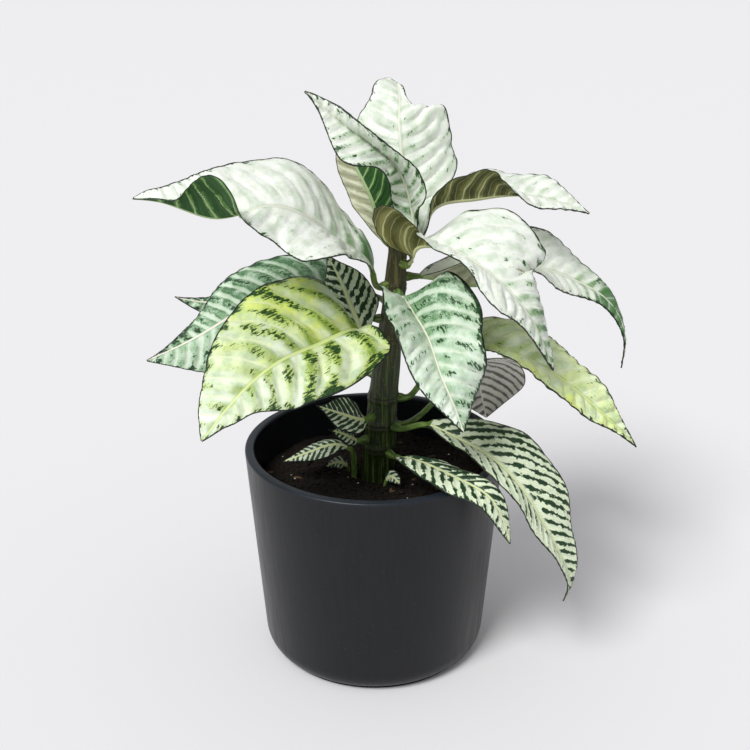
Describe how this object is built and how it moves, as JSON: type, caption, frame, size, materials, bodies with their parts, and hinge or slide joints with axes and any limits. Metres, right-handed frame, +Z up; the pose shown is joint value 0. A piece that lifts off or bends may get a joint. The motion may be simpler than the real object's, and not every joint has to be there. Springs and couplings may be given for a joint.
{
  "type": "potted zebra plant",
  "caption": "Leafy zebra plant with pale, striped and folded leaves on one stem, in a dark tapered pot of soil.",
  "frame": {"origin": "centre of the flat underside of the pot, on the surface it stands on", "axes": "+Z up along the pot's axis, -Y towards the viewer of the picture, +X to the viewer's right"},
  "size_m": [0.2588, 0.166, 0.309],
  "materials": {
    "pot_glaze": "dark charcoal glaze with a satin sheen",
    "soil": "dark damp potting soil",
    "stem": "green young stem, brown towards the top",
    "leaf_white": "whitish leaf with green flecks and a thin dark edge",
    "leaf_green": "green and yellow-green leaf with pale veins",
    "leaf_striped": "dark green leaf with cream stripes along its veins"
  },
  "bodies": {
    "root": {"pot": "pot_glaze", "soil": "soil", "stem": "stem", "leaf_left_high": "leaf_white", "leaf_crown_left": "leaf_white", "leaf_crown_far_left": "leaf_white", "leaf_crown_back": "leaf_white", "leaf_crown_right": "leaf_white", "leaf_right_high": "leaf_white", "leaf_right_back": "leaf_white", "leaf_front": "leaf_white", "leaf_left_front": "leaf_green", "leaf_left_middle": "leaf_green", "leaf_left_back": "leaf_green", "leaf_left_inner": "leaf_striped", "leaf_right_middle": "leaf_green", "leaf_right_inner": "leaf_striped", "leaf_right_low": "leaf_striped", "leaf_right_small": "leaf_striped", "leaf_back_low": "leaf_striped", "leaf_back_right": "leaf_striped", "leaf_small_left": "leaf_striped", "leaf_small_low": "leaf_striped", "leaf_soil_left": "leaf_striped", "sprout_left": "leaf_striped", "sprout_front": "leaf_striped"}
  },
  "joints": []
}
